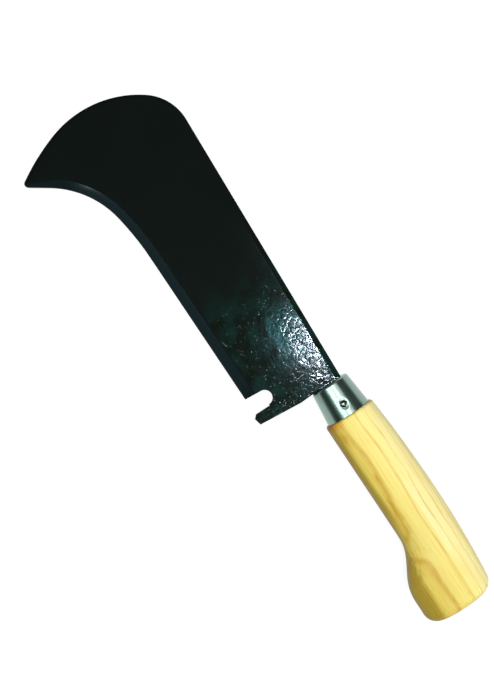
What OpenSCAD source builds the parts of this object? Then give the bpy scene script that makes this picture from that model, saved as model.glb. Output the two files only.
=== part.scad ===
// Billhook: a hooked forged blade with a hanging hook at its heel, a tapered steel ferrule
// kept on by one nail, and a swelled ash handle driven onto the blade's tang.
// The tool lies flat. +X runs from the handle to the crown of the blade, +Y towards the
// cutting edge, and +Z square to the blade. Sizes are measured from the point where the
// handle's axis meets the ferrule's front face. placed() then moves the finished tool so
// that the middle of its base lies at the origin.

/* [Blade] */
// Length of the blade from the ferrule to the crown
blade_len = 227; // [200:1:260]
// Distance from the handle's axis to the cutting edge at the heel
edge_y = 49.3; // [45:0.1:54]
// Angle at which the cutting edge runs away from the handle's axis
edge_rise = 0.7; // [0:0.1:2]
// Distance from the handle's axis to the spine at the ferrule
spine_y = 8.5; // [8:0.1:10]
// Thickness of the blade at the ferrule
blade_t = 5; // [4.4:0.1:6.5]
// Thickness of the blade at the crown
crown_t = 4; // [3.2:0.1:5]

/* [Grinding] */
// Angle of the ground bevel to the middle of the blade, on each face
bevel_angle = 18; // [14:0.5:24]
// Thickness left at the cutting edge
edge_t = 0.6; // [0.3:0.1:1]
// Width of the eased corner along the spine and the crown
ease_w = 2.4; // [1:0.1:3.4]
// Depth of the eased corner at the side of the spine
ease_h = 1; // [0.4:0.1:1.3]

/* [Crown and beak] */
// Distance from the handle's axis to the furthest point of the crown
crown_y = 38.2; // [34:0.1:42]
// Radius of the crown where it leaves the spine
back_r = 31.5; // [26:0.5:38]
// Radius of the crown at its furthest point
crown_r = 68.5; // [60:0.5:78]
// Radius of the crown towards the beak
beak_r = 145; // [115:1:180]
// Turn of the crown from its furthest point back to the curve into the spine
back_turn = 37; // [32:0.5:42]
// Turn of the crown from its furthest point to the curve of the beak
beak_turn = 18.5; // [14:0.5:23]
// Radius at the point of the beak
tip_r = 2.5; // [1.5:0.1:4]

/* [Throat] */
// Distance from the crown's furthest point back to where the edge begins to curve
throat_len = 100.5; // [92:0.5:110]
// Radius of the edge where it begins to curve
lead_r = 186; // [150:1:230]
// Turn of the edge along that first curve
lead_turn = 10; // [7:0.5:13]
// Radius of the throat under the beak
throat_r = 60.5; // [52:0.5:70]
// Turn of the edge along the throat
throat_turn = 45.5; // [40:0.5:50]

/* [Heel and hanging hook] */
// Distance from the ferrule to the heel of the cutting edge
heel_x = 20.2; // [19:0.1:26]
// How far the heel's end leans back over the notch
heel_lean = 0.7; // [0.2:0.1:1.5]
// Distance from the ferrule to the back of the prong's tip
prong_x = 2; // [1:0.1:3]
// Width of the prong
prong_w = 6.9; // [5:0.1:7.2]
// How far the prong reaches past the cutting edge
prong_proud = 1.6; // [0:0.1:4]
// Size of the cut corner of the prong, on the side of the notch
prong_cut = 2.2; // [0.5:0.1:3]
// Fall of the prong's tip towards its back
prong_fall = 1.1; // [0.2:0.1:2]
// Diameter of the round floor of the notch
notch_d = 9.8; // [7:0.1:10]
// Depth of the notch below the cutting edge
notch_depth = 15.7; // [11:0.1:20]
// How far the back of the heel bows out behind the ferrule's face
heel_bow = 0.4; // [0:0.1:1]
// Distance from the handle's axis to the bow of the heel
bow_y = 21; // [17:0.5:26]

/* [Tang] */
// Length of the tang behind the ferrule's front face
tang_len = 95; // [60:1:120]
// Width of the tang at the blade's shoulder
tang_w = 15; // [11:0.5:15.8]
// Width of the tang at its end
tang_end_w = 6; // [4:0.5:9]
// Thickness of the tang at its end
tang_end_t = 3; // [2:0.1:4]

/* [Ferrule] */
// Length of the ferrule
ferrule_len = 22; // [18:0.5:30]
// Outer diameter of the ferrule at the blade
ferrule_front_d = 25; // [22:0.1:27]
// Outer diameter of the ferrule at the handle
ferrule_rear_d = 29.6; // [28:0.1:33]
// Thickness of the ferrule's sheet
ferrule_wall = 1.2; // [0.9:0.1:1.8]
// Radius of the ferrule's front edge
ferrule_round = 2; // [1:0.1:3]

/* [Ferrule nail] */
// Distance from the ferrule's rear rim to the nail
nail_back = 7.8; // [5:0.1:11]
// Diameter of the nail's head
nail_head_d = 4.6; // [3.4:0.1:6]
// Height of the nail's domed head
nail_head_h = 0.9; // [0.5:0.1:1.4]
// Diameter of the nail's shank
nail_d = 2; // [1.4:0.1:2.6]
// Length of the nail under its head
nail_len = 8.5; // [6:0.1:9]
// Diameter of the nail's blunt point
nail_point_d = 0.5; // [0.3:0.1:0.8]
// Length of the taper to the nail's point
nail_point_len = 2; // [1:0.1:4]
// Depth of the dished spot under the nail's head
dish_depth = 0.5; // [0.3:0.1:0.7]
// Width of the sloping rim of the dished spot
dish_rim = 2; // [1:0.1:3]

/* [Handle] */
// Length of the handle behind the ferrule
handle_len = 139; // [125:1:160]
// Height of the wood above the ferrule's rim, towards the edge and the spine
head_step = 2; // [1:0.1:4]
// Height of the wood above the ferrule's rim, on the two flat sides
cheek_step = 1; // [0.5:0.1:3]
// Radius of the handle's front corner
head_round = 1.8; // [0.8:0.1:2.5]
// Distance from the ferrule to the waist of the handle
waist_at = 76; // [60:1:84]
// Distance from the axis to the edge side of the handle at the waist
waist_front = 16.2; // [14:0.1:19]
// Distance from the axis to the back of the handle at the waist
waist_back = 20.3; // [17:0.1:23]
// Thickness of the handle at the waist
waist_t = 28.8; // [24:0.1:31]
// Distance from the axis to the crest of the swelled butt
butt_front = 29.4; // [24:0.1:34]
// Distance from the axis to the back of the handle at the butt
butt_back = 16.6; // [14:0.1:19]
// Thickness of the handle at the butt
butt_t = 31.8; // [31.6:0.1:36]
// Length of the curve up to the crest of the butt
swell_len = 43; // [34:1:52]
// Distance from the butt's end to its crest
crest_back = 15.5; // [13:0.5:22]
// Radius of the butt's corners
butt_round = 8; // [4:0.5:10]

/* [Fits] */
// Clearance of the tang in the ferrule's slot and in the handle
tang_fit = 0.1; // [0.05:0.05:0.3]
// Clearance of the wood and the nail in the ferrule
ferrule_fit = 0.05; // [0.02:0.01:0.2]

/* [Hidden] */
$fn = 96;

// Longest facet on the curves of the blade's outline
facet = 2.5;
// Rings along the handle's body, rings on its rounded ends and points on each ring
body_rings = 34;
head_rings = 3;
butt_rings = 8;
ring_points = 48;
// Squareness of the handle's oval: 2 is an ellipse
oval_power = 2.3;
// How far cutters reach past what they cut, and the sloping cuts past the point of the beak
over = 1;
beak_over = 10;

function along(angle, length) = length * [cos(angle), sin(angle)];
function ease_in_out(t) = let (s = min(max(t, 0), 1)) s * s * s * (10 - 15 * s + 6 * s * s);

// Crown: three arcs that run into each other, from the spine to the beak
crown_c = [blade_len - crown_r, crown_y];
back_c = crown_c + along(-back_turn, crown_r - back_r);
beak_c = crown_c + along(beak_turn, crown_r - beak_r);

// Spine: the tangent from the shoulder to the first of those arcs
spine_root = [0, -spine_y];
to_back = back_c - spine_root;
spine_dir = atan2(to_back.y, to_back.x) - asin(back_r / norm(to_back));

// Cutting edge: a straight run, two arcs, and a straight run to the point of the beak
heel = [heel_x, edge_y];
run_end = heel + along(edge_rise, (blade_len - throat_len - heel_x) / cos(edge_rise));
lead_dir = edge_rise + lead_turn;
beak_dir = lead_dir + throat_turn;
lead_c = run_end + along(edge_rise + 90, lead_r);
throat_c = lead_c + along(lead_dir - 90, lead_r - throat_r);
throat_end = throat_c + along(beak_dir - 90, throat_r);

// Point of the beak: a small arc that touches the beak's outer arc and the edge's last run
tip_rail = throat_end + along(beak_dir - 90, tip_r);
tip_from = tip_rail - beak_c;
tip_step = tip_from * along(beak_dir, 1);
tip_run = sqrt(tip_step * tip_step - tip_from * tip_from + pow(beak_r - tip_r, 2)) - tip_step;
tip_c = tip_rail + along(beak_dir, tip_run);
tip_turn = atan2(tip_c.y - beak_c.y, tip_c.x - beak_c.x);
tip_top = tip_c.y + tip_r;

// Hanging hook
notch_r = notch_d / 2;
notch_c = [heel_x - heel_lean - notch_r, edge_y - notch_depth + notch_r];
prong_in = prong_x + prong_w;
prong_top = edge_y + prong_proud;

// Half thickness of the blade, which thins from the ferrule to the crown
blade_slope = (blade_t - crown_t) / 2 / blade_len;
crown_over = crown_t / 2 - blade_slope * over;

// Ferrule: radii along its cone, measured back from its front face
front_r = ferrule_front_d / 2;
rear_r = ferrule_rear_d / 2;
cone = atan((rear_r - front_r) / ferrule_len);
wall_out = ferrule_wall / cos(cone);
function ferrule_r(back) = front_r + back * tan(cone);
nail_x = nail_back - ferrule_len;
seat_r = nail_head_d / 2 + ferrule_fit;

// Handle: half widths at a distance u behind the ferrule
head_r = rear_r + head_step;
crest_at = handle_len - crest_back;
function front_at(u) =
    head_r + (waist_front - head_r) * min(u / waist_at, 1)
    + (butt_front - waist_front) * ease_in_out((u - crest_at) / swell_len + 1);
function back_at(u) =
    u < waist_at
    ? waist_back + (head_r - waist_back) * pow(1 - u / waist_at, 2)
    : waist_back + (butt_back - waist_back) * pow((u - waist_at) / (handle_len - waist_at), 2);
function cheek_at(u) =
    u < waist_at
    ? waist_t / 2 + (rear_r + cheek_step - waist_t / 2) * pow(1 - u / waist_at, 2)
    : waist_t / 2 + (butt_t - waist_t) / 2 * ease_in_out((u - waist_at) / (crest_at - waist_at));
function corner(depth, radius) =
    depth < radius ? radius - sqrt(max(pow(radius, 2) - pow(radius - depth, 2), 0)) : 0;
function inset_at(u) = corner(u, head_round) + corner(handle_len - u, butt_round);

// Middle of the tool's base
mid_x = (blade_len - ferrule_len - handle_len) / 2;
mid_y = (tip_top - waist_back) / 2;
base_z = max(butt_t / 2, rear_r + cheek_step);

module placed() {
    translate([-mid_x, -mid_y, base_z]) children();
}

// Points on an arc from one direction to another, with the ends or only the middles of its facets
function facets(radius, turn) = max(2, ceil(radius * abs(turn) * PI / 180 / facet));
function arc(centre, radius, from, to) =
    let (n = facets(radius, to - from))
    [for (i = [0:n]) centre + along(from + (to - from) * i / n, radius)];
function mid_angles(radius, from, to) =
    let (n = facets(radius, to - from))
    [for (i = [0:n - 1]) from + (to - from) * (i + 0.5) / n];

// A solid through a row of rings that all have the same number of points
module loft(rings) {
    count = len(rings[0]);
    last = len(rings) - 1;
    points = [for (ring = rings) each ring];
    sides = [
        for (i = [0:last - 1], k = [0:count - 1])
            let (a = i * count + k, b = i * count + (k + 1) % count)
            each [[a, b, b + count], [a, b + count, a + count]]
    ];
    first_cap = [for (k = [0:count - 1]) count - 1 - k];
    last_cap = [for (k = [0:count - 1]) last * count + k];
    polyhedron(points, concat(sides, [first_cap, last_cap]));
}

// A wedge that cuts a sloping face along a rail: each station has a point and the direction
// into the blade, and the face rises from the side height by the slope
module sloping_cut(stations, side_height, slope) {
    top = blade_t;
    reach = (top - side_height) / slope;
    section = [[-over, side_height - over * slope], [reach, top], [-over, top]];
    loft([
        for (s = stations) [
            for (corner_point = section)
                let (p = s[0] + along(s[1], corner_point.x))
                [p.x, p.y, corner_point.y]
        ]
    ]);
}

module edge_bevel() {
    start = heel + along(edge_rise, -heel_lean - notch_r);
    end = throat_end + along(beak_dir, tip_run + beak_over);
    sloping_cut(concat(
        [[start, edge_rise - 90]],
        [for (a = mid_angles(lead_r, edge_rise - 90, lead_dir - 90)) [lead_c + along(a, lead_r), a]],
        [for (a = mid_angles(throat_r, lead_dir - 90, beak_dir - 90)) [throat_c + along(a, throat_r), a]],
        [[end, beak_dir - 90]]
    ), edge_t / 2, tan(bevel_angle));
}

module crown_ease() {
    beak_end = tip_turn + 90;
    start = beak_c + along(tip_turn, beak_r) + along(beak_end, beak_over);
    end = spine_root + along(spine_dir, over);
    sloping_cut(concat(
        [[start, beak_end + 90]],
        [for (a = mid_angles(beak_r, tip_turn, beak_turn)) [beak_c + along(a, beak_r), a + 180]],
        [for (a = mid_angles(crown_r, beak_turn, -back_turn)) [crown_c + along(a, crown_r), a + 180]],
        [for (a = mid_angles(back_r, -back_turn, spine_dir - 90)) [back_c + along(a, back_r), a + 180]],
        [[end, spine_dir + 90]]
    ), crown_t / 2 - ease_h, ease_h / ease_w);
}

module tang_plan(extra) {
    root = tang_w / 2 + extra;
    end = tang_end_w / 2 + extra;
    tail = -tang_len - extra;
    polygon([[over, root], [0, root], [tail, end], [tail, -end], [0, -root], [over, -root]]);
}

module blade_plan() {
    difference() {
        polygon(concat(
            [[0, -tang_w / 2], spine_root],
            arc(back_c, back_r, spine_dir - 90, -back_turn),
            arc(crown_c, crown_r, -back_turn, beak_turn),
            arc(beak_c, beak_r, beak_turn, tip_turn),
            arc(tip_c, tip_r, tip_turn, beak_dir + 90),
            arc(throat_c, throat_r, beak_dir - 90, lead_dir - 90),
            arc(lead_c, lead_r, lead_dir - 90, edge_rise - 90),
            [
                heel,
                notch_c + [notch_r, 0],
                [prong_in, notch_c.y],
                [prong_in, prong_top - prong_cut],
                [prong_in - prong_cut, prong_top],
                [prong_x, prong_top - prong_fall],
                [-heel_bow, bow_y],
                [0, front_r]
            ]
        ));
        translate(notch_c) circle(notch_r);
    }
}

// Side view of the steel, which thins to both ends from the shoulder
module steel_side(extra) {
    shoulder = blade_t / 2 + extra;
    tang_end = tang_end_t / 2 + extra;
    crown_end = crown_over + extra;
    polygon([
        [-tang_len - extra, tang_end], [0, shoulder], [blade_len + over, crown_end],
        [blade_len + over, -crown_end], [0, -shoulder], [-tang_len - extra, -tang_end]
    ]);
}

module steel_slab(extra) {
    width = 2 * (tip_top + over);
    rotate([90, 0, 0]) linear_extrude(width, center = true) steel_side(extra);
}

// The tang's own shape, or with a clearance the room that it takes in the wood and the ferrule
module tang(extra = 0) {
    intersection() {
        linear_extrude(2 * blade_t, center = true) tang_plan(extra);
        steel_slab(extra);
    }
}

module blade() {
    color([0.09, 0.12, 0.12]) placed() difference() {
        intersection() {
            linear_extrude(2 * blade_t, center = true) {
                tang_plan(0);
                blade_plan();
            }
            steel_slab(0);
        }
        for (face = [0, 1]) mirror([0, 0, face]) {
            edge_bevel();
            crown_ease();
        }
    }
}

// Half profile of the ferrule: radius, and distance behind its front face
module ferrule_profile() {
    round_c = [front_r + ferrule_round * tan(cone) - ferrule_round / cos(cone), ferrule_round];
    difference() {
        union() {
            polygon([
                [0, 0], [round_c.x, 0], round_c + along(-cone, ferrule_round),
                [rear_r, ferrule_len], [0, ferrule_len]
            ]);
            translate(round_c) circle(ferrule_round);
        }
        polygon([
            [-over, ferrule_wall], [ferrule_r(ferrule_wall) - wall_out, ferrule_wall],
            [ferrule_r(ferrule_len + over) - wall_out, ferrule_len + over], [-over, ferrule_len + over]
        ]);
    }
}

// The nail's place: on top of the ferrule, square to its cone
module at_nail() {
    translate([nail_x, 0, ferrule_r(-nail_x)]) rotate([0, cone, 0]) children();
}

module ferrule() {
    color([0.72, 0.76, 0.74]) placed() difference() {
        rotate([0, -90, 0]) rotate_extrude() ferrule_profile();
        tang(tang_fit);
        at_nail() {
            translate([0, 0, -dish_depth]) cylinder(
                r1 = seat_r, r2 = seat_r + dish_rim * (1 + over / dish_depth), h = dish_depth + over
            );
            translate([0, 0, -nail_len]) cylinder(d = nail_d + 2 * ferrule_fit, h = nail_len);
        }
    }
}

module ferrule_nail() {
    head_r = nail_head_d / 2;
    dome_r = (pow(head_r, 2) + pow(nail_head_h, 2)) / (2 * nail_head_h);
    color([0.35, 0.37, 0.37]) placed() at_nail() translate([0, 0, -dish_depth]) {
        intersection() {
            cylinder(r = head_r, h = nail_head_h);
            translate([0, 0, nail_head_h - dome_r]) sphere(dome_r);
        }
        translate([0, 0, nail_point_len - nail_len]) cylinder(d = nail_d, h = nail_len - nail_point_len);
        translate([0, 0, -nail_len]) cylinder(d1 = nail_point_d, d2 = nail_d, h = nail_point_len);
    }
}

// Distances behind the ferrule at which the handle has a ring, closer together on its rounded ends
ring_places = concat(
    [for (i = [0:head_rings - 1]) head_round * (1 - cos(90 * i / head_rings))],
    [for (i = [0:body_rings]) head_round + (handle_len - butt_round - head_round) * i / body_rings],
    [for (i = [1:butt_rings]) handle_len - butt_round * (1 - sin(90 * i / butt_rings))]
);

function signed_power(v, power) = sign(v) * pow(abs(v), power);

function handle_ring(u) =
    let (
        inset = inset_at(u),
        half_width = (front_at(u) + back_at(u)) / 2 - inset,
        half_thick = cheek_at(u) - inset,
        middle = (front_at(u) - back_at(u)) / 2
    )
    [
        for (k = [0:ring_points - 1])
            let (a = 360 * k / ring_points)
            [
                -ferrule_len - u,
                middle + half_width * signed_power(cos(a), 2 / oval_power),
                half_thick * signed_power(sin(a), 2 / oval_power)
            ]
    ];

module tenon() {
    start = ferrule_wall + ferrule_fit;
    end = ferrule_len + over;
    rotate([0, -90, 0]) translate([0, 0, start]) cylinder(
        r1 = ferrule_r(start) - wall_out - ferrule_fit,
        r2 = ferrule_r(end) - wall_out - ferrule_fit,
        h = end - start
    );
}

module handle() {
    color([0.93, 0.84, 0.5]) placed() difference() {
        union() {
            loft([for (u = ring_places) handle_ring(u)]);
            tenon();
        }
        tang(tang_fit);
        at_nail() translate([0, 0, -dish_depth - nail_len - ferrule_fit])
            cylinder(d = nail_d + 2 * ferrule_fit, h = nail_len);
    }
}

blade();
ferrule();
ferrule_nail();
handle();
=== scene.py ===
"""A billhook lying on a pale floor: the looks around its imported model.

Shapes are worked out in millimetres, in the tool's own frame. Its origin is the point where the handle's
axis meets the ferrule's front face: x runs towards the crown of the blade, y towards the cutting edge and
z square to the blade. add_piece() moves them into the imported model's frame, in metres.
"""

import math

import bmesh
import bpy
import numpy as np
from mathutils import Matrix, Vector, kdtree, noise
from mathutils.geometry import delaunay_2d_cdt


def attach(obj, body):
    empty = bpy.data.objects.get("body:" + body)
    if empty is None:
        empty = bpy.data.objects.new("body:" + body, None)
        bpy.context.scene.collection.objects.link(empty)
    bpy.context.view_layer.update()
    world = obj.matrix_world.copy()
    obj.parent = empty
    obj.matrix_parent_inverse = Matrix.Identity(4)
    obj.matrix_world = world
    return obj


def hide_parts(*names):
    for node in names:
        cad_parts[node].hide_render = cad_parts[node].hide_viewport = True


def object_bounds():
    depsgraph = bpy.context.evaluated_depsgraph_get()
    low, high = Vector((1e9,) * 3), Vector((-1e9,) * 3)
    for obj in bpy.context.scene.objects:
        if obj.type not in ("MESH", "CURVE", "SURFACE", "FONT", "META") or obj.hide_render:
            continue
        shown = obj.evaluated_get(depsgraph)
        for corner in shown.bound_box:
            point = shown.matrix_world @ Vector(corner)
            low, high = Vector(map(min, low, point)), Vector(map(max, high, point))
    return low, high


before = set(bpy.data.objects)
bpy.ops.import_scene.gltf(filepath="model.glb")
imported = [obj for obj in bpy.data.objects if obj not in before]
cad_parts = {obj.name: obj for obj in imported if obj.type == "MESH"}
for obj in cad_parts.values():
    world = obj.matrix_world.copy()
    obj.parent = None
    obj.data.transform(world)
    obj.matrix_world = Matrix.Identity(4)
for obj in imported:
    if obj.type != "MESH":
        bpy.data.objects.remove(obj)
cad_low, cad_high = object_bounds()

MM = 0.001

# Blade, as in the part's source
BLADE_LEN = 227.0
EDGE_Y = 49.3
EDGE_RISE = 0.7
SPINE_Y = 8.5
BLADE_T = 5.0
CROWN_T = 4.0
BEVEL_ANGLE = 18.0
EDGE_T = 0.6
EASE_W = 2.4
EASE_H = 1.0
CROWN_Y = 38.2
BACK_R = 31.5
CROWN_R = 68.5
BEAK_R = 145.0
BACK_TURN = 37.0
BEAK_TURN = 18.5
TIP_R = 2.5
THROAT_LEN = 100.5
LEAD_R = 186.0
LEAD_TURN = 10.0
THROAT_R = 60.5
THROAT_TURN = 45.5
HEEL_X = 20.2
HEEL_LEAN = 0.7
PRONG_X = 2.0
PRONG_W = 6.9
PRONG_PROUD = 1.6
PRONG_CUT = 2.2
PRONG_FALL = 1.1
NOTCH_R = 4.9
NOTCH_DEPTH = 15.7
HEEL_BOW = 0.4
BOW_Y = 21.0
TANG_LEN = 95.0
TANG_W = 15.0
TANG_END_W = 6.0
TANG_END_T = 3.0
TANG_FIT = 0.1

# Ferrule and its nail
FERRULE_LEN = 22.0
FRONT_R = 12.5
REAR_R = 14.8
FERRULE_WALL = 1.2
FERRULE_ROUND = 1.4
FERRULE_FIT = 0.05
RIM_ROUND = 0.25
SLOT_RIM = 1.0
NAIL_BACK = 7.8
NAIL_HEAD_R = 2.3
NAIL_HEAD_H = 0.9
NAIL_EDGE_W = 0.1
NAIL_EDGE_H = 0.05
NAIL_R = 1.0
NAIL_LEN = 8.5
NAIL_POINT_LEN = 2.0
NAIL_POINT_R = 0.25
DISH_DEPTH = 0.5
DISH_RIM = 2.0

# Handle
HANDLE_LEN = 139.0
HEAD_STEP = 2.0
CHEEK_STEP = 1.0
HEAD_ROUND = 1.8
WAIST_AT = 76.0
WAIST_FRONT = 16.2
WAIST_BACK = 20.3
WAIST_T = 28.8
BUTT_FRONT = 29.4
BUTT_BACK = 16.6
BUTT_T = 31.8
SWELL_LEN = 43.0
CREST_BACK = 15.5
BUTT_ROUND = 8.0
OVAL_POWER = 2.3

# Hammer marks: how far they reach, how far they stay from the bevel, and their sizes
FORGED_START = 1.0
FORGED_FULL = 52.0
FORGED_END = 98.0
FORGED_GAP = 2.0
DENT_LEN = 7.0
DENT_H = 0.02
FLAKE_LEN = 3.0
FLAKE_TILT = 0.008
FACE_GAP = 40.0  # keeps the marks of the two faces unlike
FLAKE_SPREAD = 37.0  # keeps the leans of neighbouring flakes unlike

# Grinding: how the bevel runs out at the beak, and the radius of its slight crown
GRIND_FADE = 26.0
GRIND_LIFT = 0.95
GRIND_R = 143.0

# Softened creases and corners, the hammered nail and hand sanding
CREASE = 0.002
DISH_CREASE = 0.05
CORNER_W = 0.5
CORNER_H = 0.2
EASE_START = 1.0
HAMMERED = 0.03
HAMMERED_PER_MM = 0.6
SANDING = 0.15
SANDING_LEN = 28.0

# Fineness of the meshes
OUTLINE_STEP = 0.8
RAIL_STEP = 0.05
FORGED_STEP = 0.5
SMOOTH_STEP = 1.5
ROW_RISE = math.sqrt(0.75)
GUIDE_GAP = 0.18
GUIDE_ROOM = 0.8 * GUIDE_GAP
OUTLINE_ROOM = 0.62 * OUTLINE_STEP
GRID_ROOM = 0.6  # in steps of the grid
MERGE_GAP = 1e-6
CREASE_ROUNDS = 8
RAIL_OVER = 10.0  # how far a rail runs on past the point of the beak
RING_POINTS = 192
FERRULE_RINGS = 64
ROUND_STEP = 0.2
DOME_HEIGHTS = np.linspace(0.12, 0.995, 9)
HEAD_RINGS = 8
BODY_RINGS = 150
BUTT_RINGS = 16
END_SCALES = (0.75, 0.5, 0.25, 0.05)
SHARP_ANGLE = 38.0
CREASE_ANGLE = 11.0

# Photograph: its size, the tool's origin in it, its scale and the lean of the handle's axis
IMAGE_SIZE = np.array([494.0, 700.0])
TOOL_PIXEL = np.array([329.0, 383.5])
PIXELS_PER_MM = 1.6
TOOL_LEAN = 33.15
VIEW_DISTANCE = 620.0
SENSOR = 36.0


# Plane geometry, with angles in degrees
def along(angle, length):
    """A step of that length in the direction of the angle."""
    turn = math.radians(angle)
    return length * np.array([math.cos(turn), math.sin(turn)])


def line(start, end, step=OUTLINE_STEP):
    """Points from start up to end, which is left out."""
    start, end = np.asarray(start, float), np.asarray(end, float)
    count = max(1, math.ceil(np.linalg.norm(end - start) / step))
    return start + (end - start) * (np.arange(count) / count)[:, None]


def arc(centre, radius, first, last, step=OUTLINE_STEP):
    """Points on an arc from one direction up to another, which is left out."""
    count = max(2, math.ceil(radius * math.radians(abs(last - first)) / step))
    turns = np.radians(first + (last - first) * np.arange(count) / count)
    return centre + radius * np.stack([np.cos(turns), np.sin(turns)], axis=1)


def smooth_step(low, high, value):
    """0 below low, 1 above high and a smooth rise between them."""
    share = np.clip((value - low) / (high - low), 0, 1)
    return share * share * (3 - 2 * share)


def soft_min(a, b, crease=CREASE):
    """The lower of two heights, with the crease between them rounded."""
    return -crease * np.logaddexp(-a / crease, -b / crease)


def distance_to(rail, points):
    """Distance from each point to the nearest point of a rail."""
    tree = kdtree.KDTree(len(rail))
    for i, (x, y) in enumerate(rail):
        tree.insert((x, y, 0), i)
    tree.balance()
    return np.array([tree.find((x, y, 0))[2] for x, y in points])


def inside(outline, points):
    """Whether each point lies inside a closed outline."""
    found = np.zeros(len(points), bool)
    x, y = points.T
    for (ax, ay), (bx, by) in zip(outline, np.roll(outline, -1, axis=0)):
        if ay != by:
            crosses = (ay > y) != (by > y)
            found ^= crosses & (x < ax + (y - ay) * (bx - ax) / (by - ay))
    return found


def left_of(rail, widths):
    """A row of points beside a rail, on its left-hand side, at a distance given for each point."""
    tangent = np.gradient(rail, axis=0)
    tangent /= np.linalg.norm(tangent, axis=1)[:, None]
    return rail + np.stack([-tangent[:, 1], tangent[:, 0]], axis=1) * np.asarray(widths)[:, None]


# Blade outline: the arcs of the crown, the cutting edge, the point of the beak and the hanging hook
CROWN_C = np.array([BLADE_LEN - CROWN_R, CROWN_Y])
BACK_C = CROWN_C + along(-BACK_TURN, CROWN_R - BACK_R)
BEAK_C = CROWN_C + along(BEAK_TURN, CROWN_R - BEAK_R)
SPINE_ROOT = np.array([0.0, -SPINE_Y])
to_back = BACK_C - SPINE_ROOT
SPINE_DIR = math.degrees(math.atan2(to_back[1], to_back[0]) - math.asin(BACK_R / np.linalg.norm(to_back)))

HEEL = np.array([HEEL_X, EDGE_Y])
RUN_END = HEEL + along(EDGE_RISE, (BLADE_LEN - THROAT_LEN - HEEL_X) / math.cos(math.radians(EDGE_RISE)))
LEAD_DIR = EDGE_RISE + LEAD_TURN
BEAK_DIR = LEAD_DIR + THROAT_TURN
LEAD_C = RUN_END + along(EDGE_RISE + 90, LEAD_R)
THROAT_C = LEAD_C + along(LEAD_DIR - 90, LEAD_R - THROAT_R)
THROAT_END = THROAT_C + along(BEAK_DIR - 90, THROAT_R)

tip_rail = THROAT_END + along(BEAK_DIR - 90, TIP_R)
tip_from = tip_rail - BEAK_C
tip_step = tip_from @ along(BEAK_DIR, 1)
TIP_RUN = math.sqrt(tip_step**2 - tip_from @ tip_from + (BEAK_R - TIP_R) ** 2) - tip_step
TIP_C = tip_rail + along(BEAK_DIR, TIP_RUN)
TIP_TURN = math.degrees(math.atan2(TIP_C[1] - BEAK_C[1], TIP_C[0] - BEAK_C[0]))

NOTCH_C = np.array([HEEL_X - HEEL_LEAN - NOTCH_R, EDGE_Y - NOTCH_DEPTH + NOTCH_R])
PRONG_IN = PRONG_X + PRONG_W
PRONG_TOP = EDGE_Y + PRONG_PROUD

# Ferrule cone
CONE = math.degrees(math.atan((REAR_R - FRONT_R) / FERRULE_LEN))
CONE_SLOPE = math.tan(math.radians(CONE))
WALL_OUT = FERRULE_WALL / math.cos(math.radians(CONE))
NAIL_AT = FERRULE_LEN - NAIL_BACK

# Where the tool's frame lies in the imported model's frame
SHIFT = np.array([
    cad_high.x / MM - BLADE_LEN,
    cad_high.y / MM - TIP_C[1] - TIP_R,
    (cad_low.z + cad_high.z) / 2 / MM,
])


def eased_rail(step, past_tip=0.0):
    """The spine and the crown, from the ferrule to the point of the beak, or on past it."""
    beak_end = BEAK_C + along(TIP_TURN, BEAK_R)
    rail = [
        line(SPINE_ROOT, BACK_C + along(SPINE_DIR - 90, BACK_R), step),
        arc(BACK_C, BACK_R, SPINE_DIR - 90, -BACK_TURN, step),
        arc(CROWN_C, CROWN_R, -BACK_TURN, BEAK_TURN, step),
        arc(BEAK_C, BEAK_R, BEAK_TURN, TIP_TURN, step),
    ]
    if past_tip:
        rail.append(line(beak_end, beak_end + along(TIP_TURN + 90, past_tip), step))
    return np.concatenate(rail)


def ground_rail(step, past_tip=0.0, past_heel=0.0):
    """The cutting edge, from the point of the beak to the heel, or on past them."""
    return np.concatenate([
        line(THROAT_END + along(BEAK_DIR, TIP_RUN + past_tip), THROAT_END, step),
        arc(THROAT_C, THROAT_R, BEAK_DIR - 90, LEAD_DIR - 90, step),
        arc(LEAD_C, LEAD_R, LEAD_DIR - 90, EDGE_RISE - 90, step),
        line(RUN_END, HEEL - along(EDGE_RISE, past_heel), step),
    ])


def plain_rail(step):
    """The hanging hook, the shoulder and the tang, from the heel to the spine."""
    mouth = np.array([NOTCH_R, 0])
    corners = [
        NOTCH_C - mouth,
        (PRONG_IN, NOTCH_C[1]),
        (PRONG_IN, PRONG_TOP - PRONG_CUT),
        (PRONG_IN - PRONG_CUT, PRONG_TOP),
        (PRONG_X, PRONG_TOP - PRONG_FALL),
        (-HEEL_BOW, BOW_Y),
        (0, FRONT_R),
        (0, TANG_W / 2),
        (-TANG_LEN, TANG_END_W / 2),
        (-TANG_LEN, -TANG_END_W / 2),
        (0, -TANG_W / 2),
        SPINE_ROOT,
    ]
    return np.concatenate(
        [line(HEEL, NOTCH_C + mouth, step), arc(NOTCH_C, NOTCH_R, 0, -180, step)]
        + [line(a, b, step) for a, b in zip(corners[:-1], corners[1:])]
    )


def half_thickness(x):
    """Half the steel's thickness, which thins from the shoulder to both ends."""
    to_crown = BLADE_T / 2 - (BLADE_T - CROWN_T) / 2 * x / BLADE_LEN
    to_tang = BLADE_T / 2 + (BLADE_T - TANG_END_T) / 2 * x / TANG_LEN
    return np.where(x > 0, to_crown, to_tang)


def bevel_width(x, y):
    """Width of the ground bevel."""
    return (half_thickness(x) - EDGE_T / 2 - grind_lift(x, y)) / math.tan(math.radians(BEVEL_ANGLE))


def crease_width(edge):
    """Width of the bevel beside each point of the cutting edge, measured where it meets the face."""
    width = bevel_width(*edge.T)
    for _ in range(CREASE_ROUNDS):
        width = bevel_width(*left_of(edge, width).T)
    return width


def ease_width(x):
    """Width of the eased corner of the spine and the crown."""
    return (half_thickness(x) - CROWN_T / 2 + EASE_H) * EASE_W / EASE_H


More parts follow.
